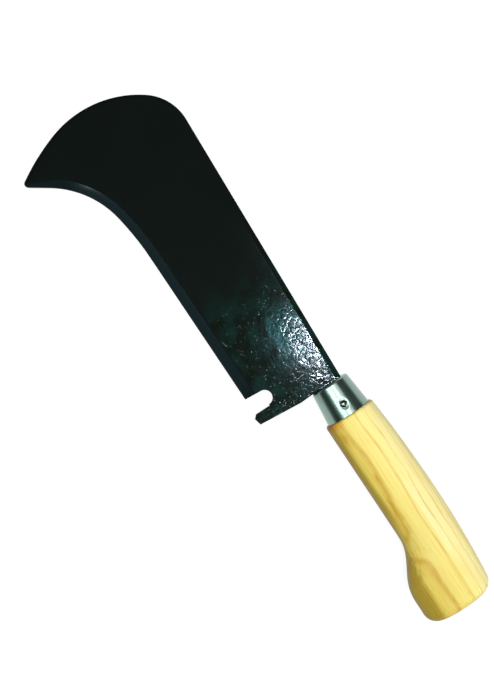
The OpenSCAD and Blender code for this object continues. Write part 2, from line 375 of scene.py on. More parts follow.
def forged_share(x):
    """How strongly the hammer marks show: fully at the heel, not on the tang and not towards the crown."""
    return smooth_step(0, FORGED_START, x) * (1 - smooth_step(FORGED_FULL, FORGED_END, x))


def hammer_marks(points, face):
    """Height of the hammer's dents and of the tilted flakes of scale at each point of a face."""
    marks = []
    for x, y in points:
        dent = noise.noise((x / DENT_LEN, y / DENT_LEN, FACE_GAP * face))
        place = Vector((x / FLAKE_LEN, y / FLAKE_LEN, FACE_GAP * face))
        centre = noise.voronoi(place)[1][0]
        tilt = noise.cell_vector(centre * FLAKE_SPREAD) - Vector((0.5, 0.5, 0.5))
        marks.append(DENT_H * dent + FLAKE_TILT * FLAKE_LEN * (place - centre).dot(tilt))
    return np.array(marks)


def grind_lift(x, y):
    """How much higher the bevel lies near the point of the beak, where the grinding runs out."""
    from_tip = np.hypot(x - TIP_C[0], y - TIP_C[1])
    return GRIND_LIFT * (1 - smooth_step(0, GRIND_FADE, from_tip))


def blade_plan():
    """Points over the blade's outline, the triangles between them and the loop round its rim."""
    eased, ground, plain = (rail(OUTLINE_STEP) for rail in (eased_rail, ground_rail, plain_rail))
    tip = arc(TIP_C, TIP_R, TIP_TURN, BEAK_DIR + 90)
    outline = np.concatenate([eased, tip, ground, plain])
    hook = plain[plain[:, 1] > FRONT_R]
    creases = [
        (ground, crease_width(ground)),
        (eased, ease_width(eased[:, 0])),
        (hook, np.full(len(hook), CORNER_W)),
    ]
    gaps = (-GUIDE_GAP, 0, GUIDE_GAP)
    guides = np.concatenate([left_of(rail, width + gap) for rail, width in creases for gap in gaps])
    guides = guides[inside(outline, guides)]
    guides = guides[distance_to(outline, guides) > GUIDE_GAP]
    fixed = np.concatenate([outline, thinned(guides, GUIDE_ROOM)])

    rows = []
    x = outline[:, 0].min()
    while x < BLADE_LEN:
        step = FORGED_STEP if -FORGED_START < x < FORGED_END else SMOOTH_STEP
        y = np.arange(outline[:, 1].min() + len(rows) % 2 * step / 2, outline[:, 1].max(), step)
        rows.append(np.stack([np.full(len(y), x), y, np.full(len(y), step)], axis=1))
        x += step * ROW_RISE
    grid = np.concatenate(rows)
    grid = grid[inside(outline, grid[:, :2])]
    room = np.maximum(GRID_ROOM * grid[:, 2], OUTLINE_ROOM)
    grid = grid[distance_to(fixed, grid[:, :2]) > room]

    points = np.concatenate([fixed, grid[:, :2]])
    count = len(outline)
    loop = [(i, (i + 1) % count) for i in range(count)]
    only_inside = 1
    made = delaunay_2d_cdt([Vector(p) for p in points], loop, [], only_inside, MERGE_GAP)
    plan, triangles, sources = made[0], made[2], made[3]
    place = {old: new for new, olds in enumerate(sources) for old in olds}
    return np.array([tuple(v) for v in plan]), triangles, [place[i] for i in range(count)]


def thinned(points, gap):
    """The points that lie no closer than gap to one kept before them."""
    # A cell of this size holds one kept point at most, and only cells up to two away lie within the gap
    size = gap / math.sqrt(2)
    reach = range(-2, 3)
    kept = {}
    for p in points:
        cell = tuple(np.floor(p / size).astype(int))
        near = [kept.get((cell[0] + i, cell[1] + j)) for i in reach for j in reach]
        if all(q is None or np.linalg.norm(p - q) > gap for q in near):
            kept[cell] = p
    return np.array(list(kept.values()))


def blade_mesh():
    """The forging: both faces from their heights, joined by a wall round the rim."""
    plan, triangles, loop = blade_plan()
    x = plan[:, 0]
    to_edge = distance_to(ground_rail(RAIL_STEP, RAIL_OVER, HEEL_LEAN + NOTCH_R), plan)
    to_crown = distance_to(eased_rail(RAIL_STEP, RAIL_OVER), plan)
    to_plain = distance_to(plain_rail(RAIL_STEP), plan)
    full = half_thickness(x)
    width = bevel_width(*plan.T)
    off_edge = x < NOTCH_C[0]
    on_tang = (x < 0) & (plan[:, 1] < FRONT_R)

    # A height of BLADE_T lies above the face, so it cuts nothing off there
    share = np.clip(to_edge / width, 0, 1)
    bevel = EDGE_T / 2 + grind_lift(*plan.T) + to_edge * math.tan(math.radians(BEVEL_ANGLE))
    bevel += width**2 * share * (1 - share) / (2 * GRIND_R)
    bevel[off_edge] = BLADE_T
    ease = CROWN_T / 2 - EASE_H + to_crown * EASE_H / EASE_W
    ease[x < EASE_START] = BLADE_T
    corner = full - CORNER_H + to_plain * CORNER_H / CORNER_W
    corner[on_tang] = BLADE_T
    cut = soft_min(bevel, soft_min(ease, corner))
    ground = 1 - smooth_step(-GUIDE_GAP, GUIDE_GAP, to_edge - width)
    ground[off_edge] = 0
    from_bevel = np.where(off_edge, FORGED_GAP, to_edge - width)
    forged = forged_share(x) * smooth_step(0, FORGED_GAP, from_bevel)
    top, bottom = (soft_min(full + forged * hammer_marks(plan, face), cut) for face in (0, 1))

    count = len(plan)
    points = np.concatenate([np.column_stack([plan, top]), np.column_stack([plan, -bottom])])
    faces = [list(t) for t in triangles]
    faces += [[i + count for i in reversed(t)] for t in triangles]
    faces += [[a + count, b + count, b, a] for a, b in zip(loop, loop[1:] + loop[:1])]
    return points, faces, {"ground": np.tile(ground, 2), "forged": np.tile(forged, 2)}


# Rings and lofts
TURNS = np.arange(RING_POINTS) * 2 * math.pi / RING_POINTS


def oval(x, middle, half_width, half_thick, power=2.0):
    """A ring square to the x axis: an ellipse, or a squarer oval with a higher power."""
    y, z = (np.sign(v) * np.abs(v) ** (2 / power) for v in (np.cos(TURNS), np.sin(TURNS)))
    return np.column_stack([np.full(RING_POINTS, x), middle + half_width * y, half_thick * z])


def round_ring(x, radius):
    """A circle square to the x axis."""
    return oval(x, 0, radius, radius)


def slot(x, half_width, half_thick):
    """A rectangular ring square to the x axis."""
    y, z = np.cos(TURNS), np.sin(TURNS)
    reach = 1 / np.maximum(np.abs(y) / half_width, np.abs(z) / half_thick)
    return np.column_stack([np.full(RING_POINTS, x), reach * y, reach * z])


def tang_slot(back):
    """The room that the tang takes at a distance behind the ferrule's front face."""
    share = back / TANG_LEN
    half_width = TANG_W / 2 + (TANG_END_W - TANG_W) / 2 * share + TANG_FIT
    half_thick = BLADE_T / 2 + (TANG_END_T - BLADE_T) / 2 * share + TANG_FIT
    return slot(-back, half_width, half_thick)


def loft(rings, closed=False):
    """Quads through a row of rings, joined into a loop or capped at both ends."""
    size = len(rings[0])
    last = len(rings) if closed else len(rings) - 1
    faces = []
    for i in range(last):
        a, b = i * size, (i + 1) % len(rings) * size
        faces += [[a + k, a + (k + 1) % size, b + (k + 1) % size, b + k] for k in range(size)]
    if not closed:
        faces.append(list(range(size)))
        faces.append(list(range(last * size, (last + 1) * size)))
    return np.concatenate(rings), faces


def ferrule_r(back):
    """Outer radius of the ferrule at a distance behind its front face."""
    return FRONT_R + back * CONE_SLOPE


def ferrule_mesh():
    """The drawn cap: a closed loop of rings, with the dished spot pressed into it."""
    turn_r = ferrule_r(FERRULE_ROUND) - FERRULE_ROUND / math.cos(math.radians(CONE))
    turn_c = np.array([turn_r, FERRULE_ROUND])
    shoulder = turn_c + along(-CONE, FERRULE_ROUND)
    rim = FERRULE_LEN - RIM_ROUND
    cone = np.linspace(rim, shoulder[1], FERRULE_RINGS, endpoint=False)
    profile = [(ferrule_r(back), back) for back in cone]
    profile += list(arc(turn_c, FERRULE_ROUND, -CONE, -90, ROUND_STEP))
    profile += [(turn_r, 0.0), (TANG_W / 2 + SLOT_RIM, 0.0)]
    outside = [round_ring(-back, radius) for radius, back in profile]
    inner = (FERRULE_WALL, FERRULE_LEN / 2, rim)
    inside_rings = [round_ring(-back, ferrule_r(back) - WALL_OUT) for back in inner]
    edge = REAR_R - RIM_ROUND
    rear = [round_ring(-FERRULE_LEN, r) for r in (edge - FERRULE_WALL + 2 * RIM_ROUND, edge)]
    rings = outside + [tang_slot(0), tang_slot(FERRULE_WALL)] + inside_rings + rear
    points, faces = loft(rings, closed=True)
    count = len(outside) * RING_POINTS
    points[:count] = dished(points[:count])
    return points, faces, {}


# The nail's place: on top of the ferrule, square to its cone
NAIL_PLACE = np.array([-NAIL_AT, 0.0, ferrule_r(NAIL_AT)])
NAIL_UP = np.array([math.sin(math.radians(CONE)), 0.0, math.cos(math.radians(CONE))])


def dished(points):
    """Points of the ferrule's outside, pressed in round the nail."""
    offset = points - NAIL_PLACE
    up = offset @ NAIL_UP
    out = np.linalg.norm(offset - up[:, None] * NAIL_UP, axis=1)
    floor = (np.maximum(out - NAIL_HEAD_R, 0) / DISH_RIM - 1) * DISH_DEPTH
    pressed = np.where(up > -FRONT_R / 2, soft_min(up, floor, DISH_CREASE), up)
    return points + (pressed - up)[:, None] * NAIL_UP


def nail_mesh():
    """The nail: a hammered domed head, a shank and a blunt point."""
    dome_r = (NAIL_HEAD_R**2 + NAIL_HEAD_H**2) / (2 * NAIL_HEAD_H)
    lift = DOME_HEIGHTS * NAIL_HEAD_H
    dome = [(math.sqrt(dome_r**2 - (dome_r - NAIL_HEAD_H + h) ** 2), h) for h in lift]
    profile = [(NAIL_POINT_R, -NAIL_LEN), (NAIL_R, NAIL_POINT_LEN - NAIL_LEN), (NAIL_R, 0.0)]
    profile += [(NAIL_HEAD_R - NAIL_EDGE_W, 0.0), (NAIL_HEAD_R, NAIL_EDGE_H)] + dome
    points, faces = loft([round_ring(height, radius) for radius, height in profile])
    wobble = [1 + HAMMERED * noise.noise(p * HAMMERED_PER_MM) for p in points]
    lathe = np.column_stack([points[:, 1] * wobble, points[:, 2] * wobble, points[:, 0] - DISH_DEPTH])
    side = np.array([NAIL_UP[2], 0.0, -NAIL_UP[0]])
    axes = np.stack([side, np.array([0.0, 1.0, 0.0]), NAIL_UP])
    return NAIL_PLACE + lathe @ axes, faces, {}


# Handle: half widths at a distance u behind the ferrule
HEAD_R = REAR_R + HEAD_STEP
CREST_AT = HANDLE_LEN - CREST_BACK


def ease_in_out(t):
    """A rise from 0 to 1 that starts and ends level."""
    s = min(max(t, 0), 1)
    return s * s * s * (10 - 15 * s + 6 * s * s)


def front_at(u):
    """Half width on the cutting edge's side."""
    swell = ease_in_out((u - CREST_AT) / SWELL_LEN + 1)
    return HEAD_R + (WAIST_FRONT - HEAD_R) * min(u / WAIST_AT, 1) + (BUTT_FRONT - WAIST_FRONT) * swell


def back_at(u):
    """Half width on the spine's side."""
    if u < WAIST_AT:
        return WAIST_BACK + (HEAD_R - WAIST_BACK) * (1 - u / WAIST_AT) ** 2
    return WAIST_BACK + (BUTT_BACK - WAIST_BACK) * ((u - WAIST_AT) / (HANDLE_LEN - WAIST_AT)) ** 2


def cheek_at(u):
    """Half thickness."""
    if u < WAIST_AT:
        return WAIST_T / 2 + (REAR_R + CHEEK_STEP - WAIST_T / 2) * (1 - u / WAIST_AT) ** 2
    return WAIST_T / 2 + (BUTT_T - WAIST_T) / 2 * ease_in_out((u - WAIST_AT) / (CREST_AT - WAIST_AT))


def corner_inset(depth, radius):
    """How far a rounded corner draws in at a depth from the end."""
    return radius - math.sqrt(max(radius**2 - (radius - min(depth, radius)) ** 2, 0))


def handle_ring(u, scale=1.0):
    """The handle's section at u, or a smaller copy of it for its flat end."""
    inset = corner_inset(u, HEAD_ROUND) + corner_inset(HANDLE_LEN - u, BUTT_ROUND)
    middle = (front_at(u) - back_at(u)) / 2
    half_width = ((front_at(u) + back_at(u)) / 2 - inset) * scale
    return oval(-FERRULE_LEN - u, middle, half_width, (cheek_at(u) - inset) * scale, OVAL_POWER)


def handle_mesh():
    """The ash handle: the tang's socket, the tenon, the body and the butt as one loft."""
    tenon_start = FERRULE_WALL + FERRULE_FIT
    shrink = WALL_OUT + FERRULE_FIT
    tenon = [round_ring(-back, ferrule_r(back) - shrink) for back in (tenon_start, FERRULE_LEN)]
    quarter = math.pi / 2
    head = [HEAD_ROUND * (1 - math.cos(t)) for t in np.linspace(0, quarter, HEAD_RINGS)]
    body = list(np.linspace(HEAD_ROUND, HANDLE_LEN - BUTT_ROUND, BODY_RINGS)[1:-1])
    butt = [HANDLE_LEN - BUTT_ROUND * (1 - math.sin(t)) for t in np.linspace(0, quarter, BUTT_RINGS)]
    rings = [tang_slot(TANG_LEN + TANG_FIT), tang_slot(tenon_start)] + tenon
    first = len(rings) * RING_POINTS
    rings += [handle_ring(u) for u in head + body + butt]
    rings += [handle_ring(HANDLE_LEN, scale) for scale in END_SCALES]
    points, faces = loft(rings)
    points[first:] = sanded(points[first:])
    return points, faces, {}


def sanded(points):
    """Points of the handle, moved in by the slight unevenness of hand sanding."""
    middle = np.column_stack([points[:, 0], np.zeros((len(points), 2))])
    out = points - middle
    out /= np.linalg.norm(out, axis=1)[:, None]
    wave = np.array([noise.noise(p / SANDING_LEN) for p in points])
    return points + out * (SANDING * (wave - 1) / 2)[:, None]


# Materials
def srgb(red, green, blue):
    """A colour given as 0 to 255 on a screen, in Blender's linear values."""
    shares = [v / 255 for v in (red, green, blue)]
    return [s / 12.92 if s <= 0.04045 else ((s + 0.055) / 1.055) ** 2.4 for s in shares] + [1.0]


class Graph:
    """A material's nodes, with one short call for each kind."""

    def __init__(self, name, fixed):
        self.material = bpy.data.materials.new(name)
        self.material.use_nodes = True
        self.tree = self.material.node_tree
        self.shader = self.tree.nodes["Principled BSDF"]
        self.fill(self.shader, fixed)

    def fill(self, node, inputs):
        """Give a node its inputs: links from other nodes, or fixed values."""
        for key, value in inputs.items():
            if isinstance(value, bpy.types.NodeSocket):
                self.tree.links.new(value, node.inputs[key])
            else:
                node.inputs[key].default_value = value

    def add(self, kind, inputs, **settings):
        node = self.tree.nodes.new("ShaderNode" + kind)
        for key, value in settings.items():
            setattr(node, key, value)
        self.fill(node, inputs)
        return node

    def place(self):
        """The point being shaded, in the tool's own frame, in millimetres."""
        coords = self.add("TexCoord", {}).outputs["Object"]
        to_tool = {0: coords, 1: (1 / MM,) * 3, 2: tuple(-SHIFT)}
        return self.add("VectorMath", to_tool, operation="MULTIPLY_ADD").outputs[0]

    def split(self, vector):
        return self.add("SeparateXYZ", {0: vector}).outputs

    def attribute(self, name):
        return self.add("Attribute", {}, attribute_name=name).outputs["Fac"]

    def vector(self, operation, a, b):
        return self.add("VectorMath", {0: a, 1: b}, operation=operation).outputs[0]

    def math(self, operation, a, b=0.0, c=0.0):
        return self.add("Math", {0: a, 1: b, 2: c}, operation=operation).outputs[0]

    def times(self, first, *others):
        """The product of all the values."""
        for other in others:
            first = self.math("MULTIPLY", first, other)
        return first

    def between(self, share, low, high):
        """The value that lies a share of the way from low to high."""
        return self.math("MULTIPLY_ADD", share, high - low, low)

    def rise(self, value, low, high, to_low=0.0, to_high=1.0):
        """A smooth rise from to_low to to_high as the value goes from low to high."""
        inputs = {"Value": value, "From Min": low, "From Max": high, "To Min": to_low, "To Max": to_high}
        return self.add("MapRange", inputs, interpolation_type="SMOOTHSTEP").outputs[0]

    def noise(self, vector, scale, detail=2.0, rough=0.5):
        inputs = {"Vector": vector, "Scale": scale, "Detail": detail, "Roughness": rough}
        return self.add("TexNoise", inputs).outputs["Fac"]

    def grain(self, vector, along, across, detail, rough=0.5):
        """Noise drawn out along the handle, with its own fineness along the grain and across it."""
        drawn_out = self.vector("MULTIPLY", vector, (along, across, across))
        return self.noise(drawn_out, 1.0, detail, rough)

    def tilted_cells(self, vector, scale):
        """Height over flat cells, each with a lean of its own, and the distance to their seams."""
        cells = self.add("TexVoronoi", {"Vector": vector, "Scale": scale})
        offset = self.vector("SUBTRACT", vector, cells.outputs["Position"])
        lean = self.vector("SUBTRACT", cells.outputs["Color"], (0.5,) * 3)
        height = self.add("VectorMath", {0: offset, 1: lean}, operation="DOT_PRODUCT").outputs["Value"]
        seams = self.add("TexVoronoi", {"Vector": vector, "Scale": scale}, feature="DISTANCE_TO_EDGE")
        return height, seams.outputs["Distance"]

    def mix(self, factor, a, b, blend="MIX"):
        """Two colours mixed. The node's inputs 6 and 7 and its output 2 are those for colours."""
        return self.add("Mix", {0: factor, 6: a, 7: b}, data_type="RGBA", blend_type=blend).outputs[2]

    def stained(self, colour, stain, amount):
        """A colour multiplied by a stain, as far as the amount says."""
        return self.mix(amount, colour, stain, "MULTIPLY")

    def ramp(self, factor, stops):
        node = self.add("ValToRGB", {0: factor})
        elements = node.color_ramp.elements
        while len(elements) < len(stops):
            elements.new(1.0)
        for element, (position, colour) in zip(elements, stops):
            element.position = position
            element.color = colour
        return node.outputs["Color"]

    def bump(self, height, depth):
        """A bump whose full height is that many millimetres."""
        return self.add("Bump", {"Height": height, "Distance": depth * MM}).outputs[0]


# Lacquer: its colours on smooth steel, on the forged heel and on the ground bevel, where a lighter blue is
# painted reflection
LACQUER_TINT = srgb(218, 244, 255)
SMOOTH_DARK = srgb(15, 20, 18)
SMOOTH_LIGHT = srgb(18, 24, 21)
HEEL_DARK = srgb(14, 22, 14)
HEEL_LIGHT = srgb(17, 42, 37)
HEEL_MOTTLE = (0.36, 0.64)
BEVEL_SHEEN_COLOUR = srgb(17, 29, 31)
BEVEL_SHEEN_SHARE = 0.8

# Lumps and pits of the lacquered heel: how many in a millimetre, and leans and depths in millimetres
LUMPS_PER_MM = 0.3
LUMP_LEAN = 0.012
GROOVE_DEPTH = 0.032
GROOVE_SLOPE = (0.24, 0.03)
PITS_PER_MM = 0.6
PIT_DEPTH = 0.04
PIT_SLOPE = (0.64, 0.8)

# Where the lumps come in, and what is left of them on the calm heel, the shoulder and the smooth steel
SPINE_SIDE_Y = (10.0, 2.0)
SPINE_SIDE_X = (58.0, 42.0)
SHOULDER_X = (14.0, 5.0)
CALM_SHARE = 0.12
SHOULDER_SHARE = 0.4
SMOOTH_SHARE = 0.05


def black_lacquer():
    """Glossy black lacquer: smooth towards the crown, lumpy over the scale and pits of the heel."""
    g = Graph("black_lacquer", {"IOR": 1.5, "Specular IOR Level": 0.2, "Specular Tint": LACQUER_TINT})
    place = g.place()
    x, y, _ = g.split(place)
    forged = g.attribute("forged")
    ground = g.attribute("ground")
    cloud = g.noise(place, scale=0.035, detail=3.0)
    mottle = g.rise(g.noise(place, scale=0.08, detail=3.0), *HEEL_MOTTLE)
    smooth = g.mix(cloud, SMOOTH_DARK, SMOOTH_LIGHT)
    rough = g.mix(mottle, HEEL_DARK, HEEL_LIGHT)
    colour = g.mix(forged, smooth, rough)
    # The ground bevel's lighter blue is painted reflection, on top of the light its tilted face catches
    colour = g.mix(g.times(ground, BEVEL_SHEEN_SHARE), colour, BEVEL_SHEEN_COLOUR)

    # Lumps and grooves on the spine side of the heel, weaker ones on its shoulder, and pits all over it
    flakes, seams = g.tilted_cells(place, LUMPS_PER_MM)
    grooves = g.rise(seams, *GROOVE_SLOPE)
    lumps = g.math("MULTIPLY_ADD", flakes, LUMP_LEAN, g.times(grooves, -GROOVE_DEPTH))
    spine_side = g.times(g.rise(y, *SPINE_SIDE_Y, CALM_SHARE), g.rise(x, *SPINE_SIDE_X, CALM_SHARE))
    lumpy = g.math("MAXIMUM", spine_side, g.rise(x, *SHOULDER_X, 0.0, SHOULDER_SHARE))
    pits = g.rise(g.noise(place, PITS_PER_MM), *PIT_SLOPE)
    relief = g.math("MULTIPLY_ADD", lumps, lumpy, g.times(pits, -PIT_DEPTH))
    g.fill(g.shader, {
        "Base Color": colour,
        "Roughness": g.between(g.noise(place, scale=0.2, detail=3.0), 0.07, 0.11),
        "Normal": g.bump(g.times(relief, g.rise(forged, 0.0, 1.0, SMOOTH_SHARE)), 1.0),
    })
    return g.material


def drawn_steel():
    """Bright steel, brushed round the cap, with faint stains."""
    g = Graph("drawn_steel", {"Metallic": 1.0, "Anisotropic": 0.63, "Anisotropic Rotation": 0.25})
    stain = g.noise(g.place(), scale=0.12, detail=3.0)
    g.fill(g.shader, {
        "Base Color": g.mix(stain, srgb(131, 155, 145), srgb(141, 165, 155)),
        "Roughness": g.between(stain, 0.285, 0.345),
        "Tangent": g.add("Tangent", {}, direction_type="RADIAL", axis="X").outputs[0],
    })
    return g.material


def nail_steel():
    """Dull dark steel of a small nail, brighter where the hammer struck it."""
    g = Graph("nail_steel", {"Metallic": 1.0})
    dull = g.noise(g.place(), scale=0.9, detail=3.0)
    g.fill(g.shader, {
        "Base Color": g.mix(dull, srgb(88, 96, 93), srgb(132, 140, 136)),
        "Roughness": g.between(dull, 0.16, 0.32),
        "Normal": g.bump(dull, 0.02),
    })
    return g.material


# Yearly rings: the square of their distance from the pith, to which bends are added, grows by RING_STEP
PITH_Y = 18.2
PITH_TILT = 0.15
PITH_SWAY = 1.5
RING_STEP = 287.0
RINGS_AT_PITH = 20.486
EARLY_START = (0.0, 0.16)
EARLY_END = (0.36, 0.08)

# Bends of the rings, and where each comes in: at the head, at the butt and as an arch on the swell's front
HEAD_BEND = 45.0
HEAD_BEND_X = (-50.0, -28.0)
BUTT_BEND = 55.0
BUTT_BEND_X = (-60.0, -100.0)
ARCH_BEND = 75.0
ARCH_FORE_X = (-100.0, -113.0)
ARCH_REAR_X = (-126.0, -115.0)
ARCH_Y = (0.0, 12.0)


def early_wood(g, place):
    """The dark early wood at the start of each yearly ring, bent at the handle's head, butt and swell."""
    x, y, z = g.split(place)
    sway = g.between(g.grain(place, along=0.05, across=0.22, detail=2.0), -PITH_SWAY, PITH_SWAY)
    from_pith = g.math("SUBTRACT", g.math("ADD", sway, PITH_Y), g.math("MULTIPLY_ADD", z, PITH_TILT, y))
    arch = g.times(g.rise(x, *ARCH_FORE_X), g.rise(x, *ARCH_REAR_X), g.rise(y, *ARCH_Y))
    head = g.rise(x, *HEAD_BEND_X, 0.0, HEAD_BEND)
    butt = g.rise(x, *BUTT_BEND_X, 0.0, BUTT_BEND)
    bend = g.math("MULTIPLY_ADD", arch, ARCH_BEND, g.math("ADD", head, butt))
    square = g.math("ADD", g.math("POWER", from_pith, 2.0), bend)
    phase = g.math("FRACT", g.math("MULTIPLY_ADD", square, -1 / RING_STEP, RINGS_AT_PITH))
    return g.times(g.rise(phase, *EARLY_END), g.rise(phase, *EARLY_START))


# Painted light and shade, changing from the pale lit back to the brown shaded front: its width, its fraying
# by fibres and its stretch at the butt
LIGHT_TO_SHADE_WIDTH = 28.0
LIGHT_TO_SHADE_FRAY = 2.5
BUTT_STRETCH = 0.68
BUTT_STRETCH_X = (-75.0, -140.0)
WOOD_LIGHT_AND_SHADE_COLOURS = [
    (0.0, srgb(254, 243, 170)),
    (0.29, srgb(252, 238, 150)),
    (0.5, srgb(248, 231, 131)),
    (0.64, srgb(246, 229, 128)),
    (0.79, srgb(241, 222, 118)),
    (0.9, srgb(237, 216, 102)),
    # The darkest stop paints the shade on the front flank of the handle
    (1.0, srgb(186, 162, 60)),
]

# Painted sheen: a paler band along the back of the grip, as light off the varnish: its colour, its strength
# and where it comes in and ends
SHEEN_BAND_COLOUR = srgb(255, 252, 190)
SHEEN_BAND_SHARE = 0.6
SHEEN_BAND_SIDES_Y = ((-3.0, -6.0), (-11.0, -8.0))
SHEEN_BAND_ENDS_X = ((-60.0, -85.0), (-140.0, -120.0))

# Stains: their colours and strengths, and where they come in
EARLY_STAIN = srgb(216, 182, 104)
EARLY_IN_BLOTCH = (0.35, 0.65, 0.5, 1.1)
EARLY_TO_FRONT = (-8.0, 8.0, 0.5, 0.85)
EARLY_OFF_SWELL = (18.0, 13.0, 0.2)
FLAME_STAIN = srgb(240, 206, 146)
FLAME_SHARE = 0.6
FLAME_BLOTCH = (0.5, 0.68)
FLAME_X = (-125.0, -110.0)
FLAME_Y = (1.0, 9.0)
FIBRE_STAIN = srgb(234, 206, 146)
FIBRE_SHARE = 0.36
FIBRE_RANGE = (0.42, 0.72)
PORE_STAIN = srgb(196, 156, 92)
PORE_SHARE = 0.5
PORE_RANGE = (0.6, 0.74)
HEAD_DARKENING = srgb(232, 160, 110)
HEAD_SHARE = 0.8
HEAD_DARKENING_X = (-FERRULE_LEN - 6.0, -FERRULE_LEN)
HEAD_DARKENING_Y = (4.0, 15.0)

# Relief of fibres and pores, in millimetres
GRAIN_SHARE = 0.5
GRAIN_DEPTH = 0.03


def ash():
    """Varnished pale ash: yearly rings cut along their length, fibres, pores, and painted light on the back
    and painted shade on the front.
    """
    g = Graph("ash", {"Specular IOR Level": 0.2})
    place = g.place()
    x, y, _ = g.split(place)
    fibre = g.grain(place, along=0.016, across=0.85, detail=4.0, rough=0.62)
    blotch = g.grain(place, along=0.045, across=0.16, detail=3.0, rough=0.6)
    pore = g.grain(place, along=0.16, across=4.5, detail=1.0)
    early = early_wood(g, place)

    # Painted light and shade: colour from the pale lit back to the brown shaded front, where the swell of
    # the butt stretches it
    stretch = g.rise(x, *BUTT_STRETCH_X, 1.0, BUTT_STRETCH)
    front = g.times(g.math("MAXIMUM", y, 0.0), stretch)
    across = g.math("ADD", front, g.math("MINIMUM", y, 0.0))
    across = g.math("ADD", across, g.between(fibre, -LIGHT_TO_SHADE_FRAY, LIGHT_TO_SHADE_FRAY))
    colour = g.ramp(g.math("MULTIPLY_ADD", across, 1 / LIGHT_TO_SHADE_WIDTH, 0.5), WOOD_LIGHT_AND_SHADE_COLOURS)
    # Painted sheen: a paler band where light glances off the varnish on the back of the grip
    painted_sheen = g.times(*(g.rise(y, *side) for side in SHEEN_BAND_SIDES_Y), *(g.rise(x, *end) for end in SHEEN_BAND_ENDS_X))
    colour = g.mix(g.times(painted_sheen, SHEEN_BAND_SHARE), colour, SHEEN_BAND_COLOUR)

    # Stains: early wood, flames on the front, fibres and pores, and a darker brown on the head's front just
    # behind the ferrule
    early_front = g.times(g.rise(y, *EARLY_TO_FRONT), g.rise(y, *EARLY_OFF_SWELL))
    lines = g.times(early, early_front, g.rise(blotch, *EARLY_IN_BLOTCH))
    flames = g.times(g.rise(blotch, *FLAME_BLOTCH), g.rise(y, *FLAME_Y), g.rise(x, *FLAME_X))
    pores = g.times(g.rise(pore, *PORE_RANGE), early)
    head = g.times(g.rise(x, *HEAD_DARKENING_X), g.rise(y, *HEAD_DARKENING_Y))
    colour = g.stained(colour, EARLY_STAIN, lines)
    colour = g.stained(colour, FLAME_STAIN, g.times(flames, FLAME_SHARE))
    colour = g.stained(colour, FIBRE_STAIN, g.times(g.rise(fibre, *FIBRE_RANGE), FIBRE_SHARE))
    colour = g.stained(colour, PORE_STAIN, g.times(pores, PORE_SHARE))
    # Darker brown on the front of the head, just behind the ferrule
    colour = g.stained(colour, HEAD_DARKENING, g.times(head, HEAD_SHARE))
    g.fill(g.shader, {
        "Base Color": colour,
        "Roughness": g.between(fibre, 0.38, 0.53),
        "Normal": g.bump(g.times(g.math("SUBTRACT", fibre, pores), GRAIN_SHARE), GRAIN_DEPTH),
    })
    return g.material


# Pieces
def add_piece(name, made, material, node, sharp=SHARP_ANGLE):
    """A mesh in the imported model's frame that rides on the tool and stands for one of its nodes."""
    points, faces, values = made
    mesh = bpy.data.meshes.new(name)
    mesh.from_pydata((points + SHIFT) * MM, [], faces)
    for key, value in values.items():
        mesh.attributes.new(key, "FLOAT", "POINT").data.foreach_set("value", value.astype(np.float32))
    work = bmesh.new()
    work.from_mesh(mesh)
    bmesh.ops.recalc_face_normals(work, faces=work.faces)
    work.to_mesh(mesh)
    work.free()
    mesh.shade_smooth()
    mesh.set_sharp_from_angle(angle=math.radians(sharp))
    mesh.materials.append(material)
    piece = bpy.data.objects.new(name, mesh)
    bpy.context.scene.collection.objects.link(piece)
    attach(piece, "root")
    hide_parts(node)


add_piece("forged_blade", blade_mesh(), black_lacquer(), "blade", CREASE_ANGLE)
add_piece("drawn_ferrule", ferrule_mesh(), drawn_steel(), "ferrule")
add_piece("domed_nail", nail_mesh(), nail_steel(), "ferrule_nail")
add_piece("ash_handle", handle_mesh(), ash(), "handle")


# Stage: a floor that the handle's front end and the crown rest on, with its size in metres
FLOOR_SIZE = 30.0
FLOOR_WHITE = 0.2
FLOOR_GLOW = 0.88


def packed_point(x, y, z):
    """A point of the tool's frame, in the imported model's frame."""
    return Vector((np.array([x, y, z]) + SHIFT) * MM)


def floor_material():
    """A pale floor that takes shadows, and looks white to the camera, to metal and to glass."""
    material = bpy.data.materials.new("pale_floor")
    material.use_nodes = True
    nodes, links = material.node_tree.nodes, material.node_tree.links
    nodes.remove(nodes["Principled BSDF"])
    ray = nodes.new("ShaderNodeLightPath")
    paint = nodes.new("ShaderNodeBsdfDiffuse")
    paint.inputs["Color"].default_value = (FLOOR_WHITE, FLOOR_WHITE, FLOOR_WHITE, 1)
    seen = ray.outputs["Is Camera Ray"]
    for kind in ("Is Glossy Ray", "Is Transmission Ray"):
        most = nodes.new("ShaderNodeMath")
        most.operation = "MAXIMUM"
        links.new(seen, most.inputs[0])
        links.new(ray.outputs[kind], most.inputs[1])
        seen = most.outputs[0]
    strength = nodes.new("ShaderNodeMath")
    strength.operation = "MULTIPLY"
    strength.inputs[1].default_value = FLOOR_GLOW
    links.new(seen, strength.inputs[0])
    glow = nodes.new("ShaderNodeEmission")
    links.new(strength.outputs[0], glow.inputs["Strength"])
    both = nodes.new("ShaderNodeAddShader")
    links.new(paint.outputs[0], both.inputs[0])
    links.new(glow.outputs[0], both.inputs[1])
    links.new(both.outputs[0], nodes["Material Output"].inputs["Surface"])
    return material


